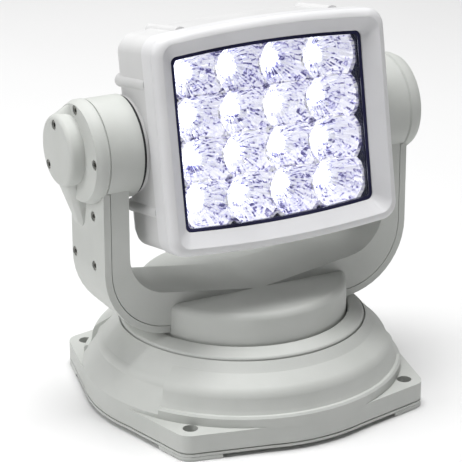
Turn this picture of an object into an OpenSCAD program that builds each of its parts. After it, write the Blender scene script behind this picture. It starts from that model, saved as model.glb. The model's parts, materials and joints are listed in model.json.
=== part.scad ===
// Remote-controlled marine searchlight: a round base with four mounting ears, a turntable that pans
// on a hollow spindle, a U-shaped yoke, and an LED head that tilts between the yoke's drums.
// Millimetres. X runs along the front edge, Y to the back, Z up; the feet stand on Z = 0.

/* [Base] */
// Distance of the mounting holes outside the round base wall
hole_out = 4.995; // [4.5:0.005:8]
// Diameter of a mounting hole
hole_d = 8.6; // [6:0.1:8.8]
// Radius of the ear round each mounting hole
ear_r = 10; // [8:0.5:14]
// Radius of the round base wall
base_r = 94; // [84:0.5:106]
// Height of the foot pads under the ears
pad_t = 2.7; // [1:0.1:5]
// Thickness of the bottom plate
plate_t = 2.3; // [2:0.1:4]
// Thickness of the ears
ear_t = 10.7; // [8:0.1:14]
// Height of the upright base wall above the bottom plate
wall_h = 17; // [14:0.5:20]
// Height of the dome from the top of the upright wall to the turntable seat
dome_h = 22; // [20:0.5:26]
// Radius of the dome's shoulder rounding
shoulder_r = 8; // [5:0.5:9]
// Depth by which the dome's sides lie behind its front and back bands
side_recess = 3; // [1:0.1:3.5]
// Angle covered by the front band, and by the back band
band_angle = 116; // [90:1:130]
// Wall thickness of the base casting
base_wall = 4; // [3:0.25:5]

/* [Turntable] */
// Width of the dome from the round wall in to the shroud ring's seat
dome_w = 21; // [18:0.5:24]
// Width of the shroud ring between its seat and the hub
ring_w = 11.5; // [9:0.5:14]
// Height of the hub above the turntable seat
hub_h = 26; // [22:0.5:30]
// Rounding of the hub's top edge
hub_round = 4; // [1:0.5:6]
// Radius of the hollow spindle in its bush
spindle_r = 18; // [16:0.5:20]
// Radius of the cable bore through the spindle
cable_r = 7; // [5:0.5:8]
// Teeth of the pan gear
pan_teeth = 60; // [56:2:64]
// Teeth of the pan motor's pinion
pinion_teeth = 20; // [18:2:22]
// Tooth module of the pan drive
gear_module = 1; // [0.9:0.05:1.1]
// Face width of the pan gear and its pinion
gear_t = 7; // [5:0.5:8]

/* [Yoke] */
// Distance from a drum's inner face out to the arm's inner face
drum_stand = 6.8; // [5:0.1:9]
// Thickness of an arm's casting
arm_t = 11; // [9:0.5:12]
// Thickness of an arm's outer cover
cover_t = 4.5; // [4:0.25:6]
// Depth of the arms from front to back
arm_d = 44; // [38:1:48]
// Height of the tilt axis above the feet
axis_z = 162; // [155:1:170]
// Rise of the yoke's floor from the hub to the bends
floor_rise = 8; // [5:0.5:10]
// Bend radius inside the yoke
bend_in = 25; // [20:1:28]
// Bend radius of the covers' outside
bend_out = 42; // [40:1:44]
// Radius of the drums at the arms' ends
drum_r = 29; // [27:0.5:31]
// Distance between the head's side and a drum's inner face
side_gap = 2.9; // [2:0.1:5]
// Length of a drum
drum_l = 20; // [17:0.5:22]
// Depth of a drum's end cap
cap_t = 8.3; // [7:0.1:10]
// Wall thickness of the yoke casting and its covers
yoke_wall = 3; // [2:0.25:3.5]
// Gap of the seam between the yoke casting and its covers
seam_gap = 0.4; // [0.2:0.05:0.6]

/* [Tilt drive] */
// Radius of the tilt motor's gearbox
motor_r = 18.5; // [16:0.5:19]
// Distance from the gearbox's middle back to its output shaft
motor_offset = 8; // [5:0.5:8]
// Radius of the trunnion shafts
shaft_r = 8; // [6:0.5:9]
// Height of the motor bulge above the left cap
bulge_h = 8.5; // [7:0.5:11]
// Angle by which the head looks up at rest
tilt_rest = 10.4; // [0:0.1:30]

/* [Head] */
// Half the width of the bezel
head_w = 72.8; // [66:0.1:84]
// Height of the bezel's top edge above the tilt axis
head_top = 65; // [60:0.5:66]
// Depth of the bezel's bottom edge below the tilt axis
head_bottom = 63; // [58:0.5:64]
// Bow of the top and bottom edges
head_bow = 4; // [2:0.5:6]
// Corner radius of the bezel
head_corner = 10; // [7:0.5:13]
// Distance from the tilt axis forward to the bezel's rim
rim_y = 47; // [45:0.5:50]
// Depth of the bezel from its rim to its rear edge
bezel_d = 17; // [16:0.5:20]
// Depth of the hood from the rim to the window
hood_d = 7.35; // [5:0.05:8]
// Width of the rim at the front of the hood
rim_w = 4.8; // [3:0.1:6]
// Width of the bezel from its outside to the window
window_inset = 12.8; // [10:0.1:15]
// Thickness of the lens
lens_t = 3; // [2:0.25:4]
// Thickness of the lens gasket
gasket_t = 2; // [1:0.25:3]
// Wall thickness of the head housing
head_wall = 3.5; // [3:0.25:4.5]
// Distance from the tilt axis back to the housing's rear face
rear_y = 11; // [9:0.5:13]
// Radius of the screw ribs along the housing
rib_r = 4; // [3:0.25:4.5]
// Distance of the side ribs above and below the tilt axis
rib_z = 35.5; // [32:0.5:42]
// Distance of the top and bottom ribs from the middle
rib_x = 48; // [40:1:54]
// Number of cooling fins
fin_n = 11; // [7:1:13]
// Thickness of a cooling fin
fin_t = 2.4; // [1.5:0.1:3]
// Depth of the cooling fins
fin_d = 18; // [12:1:22]

/* [Light source] */
// Light-emitting diodes in a row, and rows
led_n = 4; // [3:1:4]
// Distance from the head's side in to the dishes
side_margin = 13.1; // [12:0.1:16]
// Distance from the head's top and bottom edges in to the dishes
end_margin = 9.7; // [9.5:0.1:13]
// Radius of a reflector dish at its mouth
dish_r = 17.4; // [15:0.1:17.6]
// Radius of the hole at the bottom of a dish
dish_hole = 4.5; // [4:0.1:6]
// Depth of a reflector dish
dish_d = 19.2; // [16:0.1:19.5]
// Wall left round the dishes
dish_wall = 0.9; // [0.8:0.1:1]

/* [Fasteners and fits] */
// Radius of a cover screw's head
screw_r = 2.6; // [2:0.1:3]
// Depth of the recess that a cover screw sits in
screw_sink = 1.6; // [1:0.1:2]
// Radial clearance of a turning shaft in its bush
run_fit = 0.05; // [0.02:0.01:0.1]
// Gap between parts that move past each other
gap = 0.4; // [0.3:0.05:0.8]
// Radial clearance of a fixed piece in its seat
seat_fit = 0.05; // [0.02:0.01:0.1]

/* [Hidden] */
$fn = 64;
eps = 0.01;

// Heights of the base, from the feet up
plate_z = pad_t;
base_z = plate_z + plate_t;
ear_top = base_z + ear_t;
wall_top = base_z + wall_h;
seat_z = wall_top + dome_h;
ring_t = 2.7;
rim_z = seat_z + ring_t;
ledge = 3.3;
band_r = base_r - ledge;
flare = base_r + 0.35;
band_lift = 0.25;
ear_sink = 0.3;
ear_lap = 2;
hole_pitch = (base_r + hole_out) * sqrt(2);
seat_r = base_r - dome_w;
hub_r = seat_r - ring_w;
seam_h = 0.8;
seam_d = 1.2;
step_r = seat_r + 4.2;
step_drop = 4.8;
shoulder_cr = band_r - shoulder_r - 1.4;
shoulder_cz = wall_top + 7.5;
shoulder_sweep = 58;
base_in = flare - base_wall - 1;
ceiling_z = seat_z - base_wall;

// Turntable stack
hub_z = seat_z + gap + 0.2;
hub_top = seat_z + hub_h;
bush_wall = 4;
bush_seat = 5;
bush_flange = 2;
bush_lip = 4;
bush_clear = 0.3;
bush_z = seat_z - 14;
bush_or = spindle_r + run_fit + bush_wall;
neck_r = spindle_r - 6;
neck_z = bush_z - 0.5;
gear_z = neck_z - gear_t - 2.5;
nut_t = 7;
nut_r = neck_r + 5.5;
spindle_end = gear_z - nut_t - 1;
gear_backlash = 0.3;
gear_web = 3;
gear_hub = 5;
gear_rim = 5;
mesh_clear = 0.12;
pan_centre = (pan_teeth + pinion_teeth) * gear_module / 2 + mesh_clear;
pinion_shaft = 2.5;
pan_motor_r = 16;
pan_motor_top = gear_z - 1;
motor_boss_w = 3;
motor_boss_h = 1.5;
motor_floor = 4;
shaft_foot = base_z + motor_floor + 0.5;

// Yoke
drum_in = head_w + side_gap;
arm_in = drum_in + drum_stand;
seam_x = arm_in + arm_t;
arm_out = seam_x + cover_t;
floor_z = hub_top + floor_rise;
floor_dip = 0.5;
hub_wall = 6;
hub_roof = 7;
bend_x = arm_in - bend_in;
bend_z = floor_z + bend_in;
outer_cx = arm_out - bend_out;
outer_cz = bend_z - 8;
drum_out = drum_in + drum_l;
cap_x = drum_out + cap_t;
drum_cav = drum_r - yoke_wall;
cap_edge = drum_r - 1.5;
cap_r = drum_r + 0.4;
cap_seam = 0.7;
cap_foot = 1.2;
cap_side = 4.6;
cap_cav = drum_cav - 3.5;
bulge_r = motor_r + 2;
bulge_x = cap_x + bulge_h;
bulge_round = 3;
tongue_w = 26;
tongue_tip = 12;
tongue_y = 2;
tongue_root = -4;
tongue_round = 2;
tongue_z = -47;
motor_face = drum_out - 3.7;
motor_fit = 0.3;
bush_l = 10.3;
tilt_bush_or = shaft_r + run_fit + 4;
tilt_boss_r = tilt_bush_or + 4;
tilt_boss_l = 4.5;
shaft_end = drum_in + bush_l + 1;
stub_r = 3;
stub_l = 6;
coupling_w = 3;
collar_w = 4;
collar_l = 3;
drum_wall = 4;
seal_inset = 1;

// Head, measured from the tilt axis with the front at -Y
house_inset = 0.6;
house_w = head_w - house_inset;
rear_round = 7;
rear_d = 11;
rim_round = 5.5;
rib_rise = 1.2;
pocket_inset = 3.2;
window_y = -(rim_y - hood_d);
lens_y = window_y + 1.25;
gasket_y = lens_y + lens_t;
house_y = gasket_y + gasket_t;
bezel_back = -(rim_y - bezel_d);
dish_y = house_y + 0.4;
frame_t = 3;
led_y = dish_y + dish_d;
board_t = 2;
board_back = led_y + board_t;
led_z = 1.1;
array_w = head_w - side_margin;
array_h = (head_top + head_bottom) / 2 - end_margin;
grid_w = array_w - dish_r - dish_wall;
grid_h = array_h - dish_r - dish_wall;
led_px = 2 * grid_w / (led_n - 1);
led_pz = 2 * grid_h / (led_n - 1);
board_margin = 4;
sink_w = array_w - 5.5;
sink_h = array_h - 10.5;
sink_plate = 4;
sink_lip = 3;
fin_cut = 10.8;
boss_in = house_w - head_wall - 5;
boss_w = 6;
rib_short = 4;
rib_head = 2;
rib_head_h = 2.4;
lip_fit = 0.4;
gasket_show = 1.5;

// Points of an arc about [x, y] from angle a0 to a1
function arc(x, y, r, a0, a1, n = 8) =
    [for (i = [0:n]) let (a = a0 + (a1 - a0) * i / n) [x + r * cos(a), y + r * sin(a)]];

function polar(r, a) = [r * cos(a), r * sin(a)];

// Involute of the base circle, in degrees, at radius r
function involute(base, r) = let (a = acos(min(1, base / r))) tan(a) * 180 / PI - a;

module at_ears() {
    for (x = [-1, 1], y = [-1, 1]) translate([x * hole_pitch / 2, y * hole_pitch / 2, 0]) children();
}

// One ear along X, which runs out from a circle of radius r to a mounting hole
module ear(r, h, tip_r = ear_r) {
    reach = hole_pitch / sqrt(2);
    lean = acos((r - tip_r) / reach);
    near = polar(r - ear_sink, lean + ear_lap);
    tip = polar(tip_r - ear_sink / 4, lean);
    translate([reach, 0, 0]) cylinder(r = tip_r, h = h);
    linear_extrude(h)
        polygon([near, [reach + tip.x, tip.y], [reach + tip.x, -tip.y], [near.x, -near.y], [r / 2, 0]]);
}

module ears(r, h, tip_r = ear_r) {
    for (a = [45:90:315]) rotate(a) ear(r, h, tip_r);
}

// Round plate with four ears, cut in all round by inset
module flange(h, inset = 0) {
    cylinder(r = flare - inset, h = h);
    ears(flare - inset, h, ear_r - inset);
}

module revolve(points, angle = 360, start = 0) {
    rotate(start) rotate_extrude(angle = angle) polygon(points);
}

// Turns a solid built along +Z to run outwards along X on one side, at the height of the tilt axis
module on_axis(side) {
    translate([0, 0, axis_z]) rotate([0, 90 * side, 0]) children();
}

// Tube about the tilt axis between two distances from the middle
module axis_tube(side, x0, x1, r, bore = 0) {
    on_axis(side) difference() {
        translate([0, 0, x0]) cylinder(r = r, h = x1 - x0);
        if (bore > 0) translate([0, 0, x0 - 1]) cylinder(r = bore, h = x1 - x0 + 2);
    }
}

// Places the head's pieces at their angle of rest
module in_head() {
    translate([0, 0, axis_z]) rotate([-tilt_rest, 0, 0]) children();
}

// Section of the head with straight sides, bowed top and bottom and round corners, cut in by inset
module head_2d(inset) {
    w = head_w - inset;
    corner = max(head_corner - inset * 0.5, 3);
    bow_r = (head_w * head_w + head_bow * head_bow) / (2 * head_bow) - inset;
    top_c = head_top - inset - bow_r;
    low_c = -(head_bottom - inset) + bow_r;
    rise = sqrt(pow(bow_r - corner, 2) - pow(w - corner, 2));
    edge = (w - corner) * bow_r / (bow_r - corner);
    intersection() {
        translate([0, top_c]) circle(bow_r, $fn = 256);
        translate([0, low_c]) circle(bow_r, $fn = 256);
        square([2 * edge, 4 * head_top], center = true);
    }
    translate([-w, low_c - rise]) square([2 * w, top_c - low_c + 2 * rise]);
    for (x = [-1, 1]) {
        translate([x * (w - corner), top_c + rise]) circle(corner);
        translate([x * (w - corner), low_c - rise]) circle(corner);
    }
}

// Slab of the head's section from depth y0 back to y1
module head_slab(inset, y0, y1) {
    translate([0, y1, 0]) rotate([90, 0, 0]) linear_extrude(y1 - y0) head_2d(inset);
}

module led_grid() {
    for (i = [0:led_n - 1], k = [0:led_n - 1])
        translate([(i - (led_n - 1) / 2) * led_px, 0, (k - (led_n - 1) / 2) * led_pz + led_z]) children();
}

module at_ribs(y) {
    for (x = [-1, 1], z = [-1, 1]) {
        translate([x * (house_w + rib_rise - rib_r), y, z * rib_z]) rotate([-90, 0, 0]) children();
        translate([x * rib_x, y, z > 0 ? rib_top : -rib_low]) rotate([-90, 0, 0]) children();
    }
}

// Height of the bowed edges at the top and bottom ribs
bow_rad = (head_w * head_w + head_bow * head_bow) / (2 * head_bow);
bow_drop = bow_rad - sqrt(bow_rad * bow_rad - rib_x * rib_x);
rib_top = head_top - house_inset - bow_drop + 1.6 * rib_rise - rib_r;
rib_low = head_bottom - house_inset - bow_drop + 1.6 * rib_rise - rib_r;

// Spur gear outline with involute flanks
module gear_2d(teeth, start) {
    pitch_r = teeth * gear_module / 2;
    inv_r = pitch_r * cos(20);
    tip_r = pitch_r + 0.95 * gear_module;
    root_r = pitch_r - 1.2 * gear_module;
    half = (PI * gear_module / 2 - gear_backlash) / (2 * pitch_r) * 180 / PI + involute(inv_r, pitch_r);
    low = max(inv_r, root_r);
    steps = 4;
    flank = [for (i = [0:steps]) let (r = low + (tip_r - low) * i / steps) [r, half - involute(inv_r, r)]];
    polygon([for (t = [0:teeth - 1]) let (a = start + t * 360 / teeth) each concat(
        [polar(root_r, a - flank[0][1])],
        [for (i = [0:steps]) polar(flank[i][0], a - flank[i][1])],
        [for (i = [steps:-1:0]) polar(flank[i][0], a + flank[i][1])],
        [polar(root_r, a + flank[0][1])])]);
}

// Positions on the arm covers that take a screw: [distance out, along Y, above the axis]
arm_screw_y = [-7.7, 18.5];
arm_screw_z = -65.5;
top_screw_z = -36;
cap_screw_r = 24.5;
bulge_screws = [[11, -11], [2, 14.6]];
well_fit = 0.3;
screw_below = 0.5;
hex_share = 0.55;
hex_d = 0.7;
left_screws = [[cap_x, 0, cap_screw_r], [cap_x, -cap_screw_r, 0],
    each [for (s = bulge_screws) [bulge_x, motor_offset + s[0], s[1]]],
    [arm_out, arm_screw_y[0], top_screw_z], [arm_out, arm_screw_y[0], arm_screw_z],
    [arm_out, arm_screw_y[1], arm_screw_z]];
right_screws = [[cap_x, 0, cap_screw_r], [cap_x, -cap_screw_r, 0], [cap_x, 0, -cap_screw_r],
    [cap_x, cap_screw_r, 0], [arm_out, arm_screw_y[0], top_screw_z], [arm_out, arm_screw_y[0], arm_screw_z],
    [arm_out, arm_screw_y[1], arm_screw_z]];

module at_cover_screw(side, s) {
    translate([side * s[0], s[1], axis_z + s[2]]) rotate([0, -90 * side, 0]) children();
}

module foot_pads() {
    inner = hole_pitch / 2 - ear_r - 4;
    span = 2 * base_r;
    color("gray") for (a = [0:90:270]) rotate(a) difference() {
        rotate(45) ear(flare, pad_t);
        translate([-span, -span, -1]) cube([span + inner, 2 * span, pad_t + 2]);
        translate([-span, -span, -1]) cube([2 * span, span + inner, pad_t + 2]);
        translate([hole_pitch / 2, hole_pitch / 2, -1]) cylinder(d = hole_d, h = pad_t + 2);
    }
}

plate_screw_n = 8;
plate_screw_ring = base_in - 6;
thread_r = 1.5;
thread_l = 7;
thread_fit = 0.1;
screw_boss = 4.5;
head_h = 1.8;

module at_plate_screws() {
    for (i = [0:plate_screw_n - 1]) rotate((i + 0.5) * 360 / plate_screw_n)
        translate([plate_screw_ring, 0, 0]) children();
}

module bottom_plate() {
    color("gainsboro") difference() {
        union() {
            translate([0, 0, plate_z]) flange(plate_t - seam_h);
            translate([0, 0, plate_z]) flange(plate_t, seam_d);
        }
        translate([0, 0, -1]) at_ears() cylinder(d = hole_d, h = base_z + 2);
        translate([0, 0, -1]) cylinder(r = grommet_r, h = base_z + 2);
        translate([0, 0, -1]) at_plate_screws() cylinder(r = thread_r + thread_fit, h = base_z + 2);
    }
}

module plate_screws() {
    color("dimgray") at_plate_screws() {
        translate([0, 0, plate_z - head_h]) cylinder(r = screw_r, h = head_h);
        translate([0, 0, plate_z]) cylinder(r = thread_r, h = plate_t + thread_l);
    }
}

gasket_h = 1;
gasket_w = 11;

module base_gasket() {
    color("black") translate([0, 0, base_z]) difference() {
        cylinder(r = base_in - seat_fit, h = gasket_h);
        translate([0, 0, -1]) cylinder(r = base_in - gasket_w, h = gasket_h + 2);
        translate([0, 0, -1]) at_plate_screws() cylinder(r = thread_r + thread_fit, h = gasket_h + 2);
    }
}

seat_points = [[step_r, rim_z - step_drop], [step_r - 0.6, rim_z - step_drop + 0.6], [seat_r, rim_z],
    [seat_r, seat_z], [0, seat_z]];

side_points = concat([[0, base_z], [flare, base_z], [flare, wall_top - 4]],
    arc(shoulder_cr - side_recess, shoulder_cz, shoulder_r, 8, shoulder_sweep), seat_points);

band_points = concat([[shoulder_cr, ear_top - 1], [flare + band_lift, ear_top - 1],
    [flare + band_lift, wall_top - 1.2], [flare + band_lift - 1, wall_top], [band_r, wall_top]],
    arc(shoulder_cr, shoulder_cz, shoulder_r, 0, shoulder_sweep),
    [[step_r + 0.6, rim_z - step_drop - 0.5], [shoulder_cr - side_recess - 4, shoulder_cz]]);

module base_housing() {
    cavity = [[0, base_z - 1], [base_in, base_z - 1], [base_in, wall_top - 4],
        [shoulder_cr, shoulder_cz + 2], [seat_r - 4, ceiling_z], [0, ceiling_z]];
    color("gainsboro") difference() {
        union() {
            translate([0, 0, base_z]) ears(flare, ear_t);
            revolve(side_points);
            for (a = [-90, 90]) revolve(band_points, band_angle, a - band_angle / 2);
        }
        difference() {
            revolve(cavity);
            translate([0, 0, bush_z]) cylinder(r = bush_or + bush_seat, h = seat_z - bush_z);
            translate([0, 0, base_z + gasket_h]) at_plate_screws() cylinder(r = screw_boss, h = wall_h);
        }
        translate([0, 0, bush_z - 1]) cylinder(r = bush_or + seat_fit, h = seat_z);
        translate([0, 0, seat_z - bush_flange]) cylinder(r = bush_or + bush_lip + seat_fit, h = seat_z);
        translate([0, 0, -1]) at_ears() cylinder(d = hole_d, h = ear_top + 2);
        translate([0, 0, base_z - 1]) at_plate_screws() cylinder(r = thread_r + seat_fit, h = thread_l + 2);
    }
}

grommet_r = 11;
grommet_lip = 3;
grommet_top = 2;

module cable_grommet() {
    color("black") difference() {
        union() {
            translate([0, 0, plate_z - 1]) cylinder(r = grommet_r - seat_fit, h = plate_t + 1);
            translate([0, 0, base_z]) cylinder(r = grommet_r + grommet_lip, h = grommet_top);
        }
        translate([0, 0, -1]) cylinder(r = cable_r, h = base_z + grommet_top + 2);
    }
}

board_w = 50;
board_d = 32;
board_edge = 15;
board_y = -(base_in - board_edge - board_d / 2);
sheet_t = 1.6;
standoff = 5;
standoff_r = 3;
standoff_in = 4;
chip = [12, 10, 3];
chip_pitch = 15;

module control_board() {
    sheet_z = base_z + standoff;
    color("darkgreen") {
        translate([-board_w / 2, board_y - board_d / 2, sheet_z]) cube([board_w, board_d, sheet_t]);
        for (x = [-1, 1], y = [-1, 1])
            translate([x * (board_w / 2 - standoff_in), board_y + y * (board_d / 2 - standoff_in), base_z])
                cylinder(r = standoff_r, h = standoff);
        for (i = [-1:1])
            translate([i * chip_pitch - chip.x / 2, board_y - chip.y / 2, sheet_z + sheet_t]) cube(chip);
    }
}

module pan_motor() {
    color("dimgray") translate([0, pan_centre, 0]) difference() {
        union() {
            translate([0, 0, base_z]) cylinder(r = pan_motor_r, h = pan_motor_top - base_z - motor_boss_h);
            translate([0, 0, base_z]) cylinder(r = pinion_shaft + motor_boss_w, h = pan_motor_top - base_z);
        }
        translate([0, 0, base_z + motor_floor]) cylinder(r = pinion_shaft + run_fit, h = pan_motor_top);
    }
}

module pan_pinion() {
    color("goldenrod") translate([0, pan_centre, 0]) {
        translate([0, 0, gear_z]) linear_extrude(gear_t) gear_2d(pinion_teeth, -90 + 180 / pinion_teeth);
        translate([0, 0, shaft_foot]) cylinder(r = pinion_shaft, h = gear_z - shaft_foot + eps);
    }
}

module pan_bush() {
    color("peru") difference() {
        union() {
            translate([0, 0, bush_z]) cylinder(r = bush_or, h = seat_z - bush_z);
            translate([0, 0, seat_z - bush_flange]) cylinder(r = bush_or + bush_lip, h = bush_flange + hub_z - seat_z - bush_clear);
        }
        translate([0, 0, bush_z - 1]) cylinder(r = spindle_r + run_fit, h = seat_z);
    }
}

module shroud_ring() {
    lip = hub_r + gap + 0.4;
    edge = seat_r - ring_gap;
    color("gainsboro") revolve(concat([[lip, seat_z], [edge, seat_z]],
        arc(edge - ring_round, rim_z, ring_round, 0, 65, 5),
        [[lip + 1.2, rim_z + ring_rise], [lip, rim_z + ring_rise - 1]]));
}

ring_rise = 5;
ring_gap = 1;
ring_round = 2;

module turntable_hub() {
    flange_r = hub_r - hub_wall - seat_fit;
    flange_top = hub_top - hub_roof;
    pocket_in = bush_or + 2 * bush_lip;
    pocket_out = hub_r - 2 * hub_wall;
    pocket_top = flange_top - hub_roof;
    color("silver") difference() {
        revolve([[cable_r, spindle_end], [neck_r, spindle_end], [neck_r, neck_z], [spindle_r, neck_z],
            [spindle_r, hub_z], [flange_r, hub_z], [flange_r, flange_top], [cable_r, flange_top]]);
        revolve([[pocket_in, hub_z - 1], [pocket_out, hub_z - 1], [pocket_out, pocket_top],
            [pocket_in, pocket_top]]);
    }
}

module pan_gear() {
    color("goldenrod") difference() {
        union() {
            translate([0, 0, gear_z]) linear_extrude(gear_t) gear_2d(pan_teeth, 90);
            translate([0, 0, gear_z]) cylinder(r = neck_r + gear_hub, h = neck_z - gear_z);
        }
        translate([0, 0, gear_z + gear_web]) difference() {
            cylinder(r = pan_teeth * gear_module / 2 - gear_rim, h = gear_t);
            cylinder(r = neck_r + gear_hub, h = gear_t);
        }
        translate([0, 0, gear_z - 1]) cylinder(r = neck_r + seat_fit, h = gear_t + 6);
    }
}

module spindle_nut() {
    color("darkgray") translate([0, 0, gear_z - nut_t]) difference() {
        cylinder(r = nut_r, h = nut_t, $fn = 6);
        translate([0, 0, -1]) cylinder(r = neck_r + seat_fit, h = nut_t + 2);
    }
}

// Half of the yoke's front view, bounded below and outside by the bend radius r about the covers' bend
module yoke_half(r, x_out) {
    mid = hub_top - floor_dip;
    slope = atan2(bend_z - mid, bend_x) - asin(bend_in / norm([bend_x, bend_z - mid]));
    polygon(concat([[0, mid]], arc(bend_x, bend_z, bend_in, slope - 90, 0, 10),
        [[arm_in, axis_z], [x_out, axis_z]], arc(outer_cx, outer_cz, r, 0, -90, 12), [[0, outer_cz - r]]));
}

module upright(depth) {
    rotate([90, 0, 0]) linear_extrude(depth, center = true) children();
}

module hub_space(clear) {
    translate([0, 0, hub_z - 20]) cylinder(r = hub_r + clear, h = hub_top - hub_z + 20);
}

// Round disc in the middle of the yoke, with a rounded top edge
module hub_disc() {
    revolve(concat([[0, hub_z], [hub_r, hub_z]],
        arc(hub_r - hub_round, hub_top - hub_round, hub_round, 0, 90, 8), [[0, hub_top]]));
}

module yoke_frame() {
    color("gainsboro") difference() {
        union() {
            upright(arm_d) for (m = [0, 1]) mirror([m, 0]) yoke_half(seam_x - outer_cx, seam_x);
            for (side = [-1, 1]) axis_tube(side, drum_in, drum_out, drum_r);
            hub_disc();
        }
        translate([0, 0, hub_z - 1]) cylinder(r = hub_r - hub_wall, h = hub_top - hub_roof - hub_z + 1);
        translate([0, 0, hub_top - hub_roof - 1]) cylinder(r = cable_r, h = hub_roof / 2 + 1);
        translate([0, motor_offset, 0]) axis_tube(-1, motor_face - gap, drum_out + 1, motor_r + gap);
        for (side = [-1, 1]) {
            difference() {
                axis_tube(side, drum_in + drum_wall, drum_out + 1, drum_cav);
                axis_tube(side, drum_in, drum_in + drum_wall + tilt_boss_l, tilt_boss_r);
            }
            axis_tube(side, drum_in - 1, drum_out, tilt_bush_or + seat_fit);
            translate([side * (arm_in + yoke_wall + arm_t / 2), 0, (bend_z + axis_z) / 2])
                cube([arm_t, arm_d - 2 * yoke_wall, axis_z - bend_z], center = true);
        }
    }
}

// Strip of an arm cover, from the drum down the arm and round the bend to the hub
module cover_strip(side) {
    difference() {
        upright(arm_d) mirror([side < 0 ? 1 : 0, 0]) difference() {
            yoke_half(bend_out, arm_out);
            yoke_half(seam_x - outer_cx + seam_gap, seam_x + seam_gap);
            translate([-1, 0]) square([outer_cx - 4, axis_z]);
        }
        hub_space(gap);
        axis_tube(side, 0, drum_out, drum_r + gap);
    }
}

module cap_disc(side) {
    on_axis(side) revolve([[0, drum_out], [drum_r - cap_seam, drum_out], [cap_r, drum_out + cap_foot],
        [cap_r, drum_out + cap_side], [cap_edge, cap_x], [0, cap_x]]);
}

// Round bulge over the tilt motor, with a tongue that runs down the arm
module motor_bulge() {
    top = bulge_x - bulge_round;
    translate([0, motor_offset, 0]) on_axis(-1) revolve(concat([[0, drum_out + 1], [bulge_r, drum_out + 1]],
        arc(bulge_r - bulge_round, top, bulge_round, 0, 90, 6), [[0, bulge_x]]));
    hull() {
        translate([0, motor_offset + tongue_y, tongue_root]) on_axis(-1) translate([0, 0, drum_out]) {
            cylinder(r = tongue_w / 2, h = top - drum_out - 1, $fn = 32);
            cylinder(r = tongue_w / 2 - tongue_round, h = bulge_x - drum_out - 1, $fn = 32);
        }
        translate([0, motor_offset + tongue_y, tongue_z + tongue_tip / 2]) on_axis(-1) translate([0, 0, drum_out]) {
            cylinder(r = tongue_tip / 2, h = arm_out - drum_out + 0.5, $fn = 32);
            cylinder(r = tongue_tip / 2 - tongue_round, h = arm_out - drum_out + 0.5 + tongue_round, $fn = 32);
        }
    }
    intersection() {
        hull() {
            on_axis(-1) translate([0, 0, drum_out + 2]) cylinder(r = cap_r, h = 2, $fn = 48);
            translate([0, motor_offset, 0]) on_axis(-1) translate([0, 0, top - 2])
                cylinder(r = bulge_r, h = 2, $fn = 48);
        }
        translate([-bulge_x, motor_offset + 6, axis_z - drum_r]) cube([bulge_x, 2 * drum_r, 2 * drum_r + 1]);
    }
}

module screw_wells(side, places) {
    for (s = places) at_cover_screw(side, s) translate([0, 0, -1])
        cylinder(r = screw_r + well_fit, h = screw_sink + 1);
}

module left_arm_cover() {
    color("gainsboro") difference() {
        union() {
            cover_strip(-1);
            cap_disc(-1);
            motor_bulge();
        }
        axis_tube(-1, drum_out - 1, cap_x - yoke_wall, cap_cav);
        translate([0, motor_offset, 0]) axis_tube(-1, drum_out - 4, bulge_x - yoke_wall, motor_r + motor_fit);
        screw_wells(-1, left_screws);
    }
}

module right_arm_cover() {
    color("gainsboro") difference() {
        union() {
            cover_strip(1);
            cap_disc(1);
        }
        axis_tube(1, drum_out - 1, cap_x - yoke_wall, cap_cav);
        screw_wells(1, right_screws);
    }
}

module cover_screw() {
    difference() {
        translate([0, 0, screw_below]) cylinder(r = screw_r, h = screw_sink - screw_below);
        translate([0, 0, screw_below - eps]) cylinder(r = hex_share * screw_r, h = hex_d, $fn = 6);
    }
}

module cover_screws() {
    color("dimgray") {
        for (s = left_screws) at_cover_screw(-1, s) cover_screw();
        for (s = right_screws) at_cover_screw(1, s) cover_screw();
    }
}

module tilt_bush(side) {
    color("peru") axis_tube(side, drum_in, drum_in + bush_l, tilt_bush_or, shaft_r + run_fit);
}

module left_tilt_bush() {
    tilt_bush(-1);
}

module right_tilt_bush() {
    tilt_bush(1);
}

module tilt_motor() {
    color("dimgray") difference() {
        translate([0, motor_offset, 0]) axis_tube(-1, motor_face, bulge_x - yoke_wall - motor_fit, motor_r);
        axis_tube(-1, motor_face - 1, motor_face + stub_l + 2, stub_r + run_fit);
    }
}

module tilt_coupling() {
    color("darkgray") {
        axis_tube(-1, shaft_end, motor_face - gap, shaft_r + coupling_w);
        axis_tube(-1, shaft_end + 1, motor_face + stub_l, stub_r);
    }
}

// Shaft that is pressed into the housing's boss and turns in the drum's bush
module trunnion(side) {
    color("lightgray") axis_tube(side, boss_in, shaft_end, shaft_r);
}

module left_trunnion() {
    trunnion(-1);
}

module right_trunnion() {
    trunnion(1);
}

module right_collar() {
    color("darkgray") axis_tube(1, drum_in + bush_l + gap, shaft_end + collar_l, shaft_r + collar_w, shaft_r + seat_fit);
}

module shaft_seal(side) {
    color("black") axis_tube(side, house_w, drum_in - gap, drum_r - seal_inset, shaft_r + seat_fit);
}

module left_shaft_seal() {
    shaft_seal(-1);
}

module right_shaft_seal() {
    shaft_seal(1);
}

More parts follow.
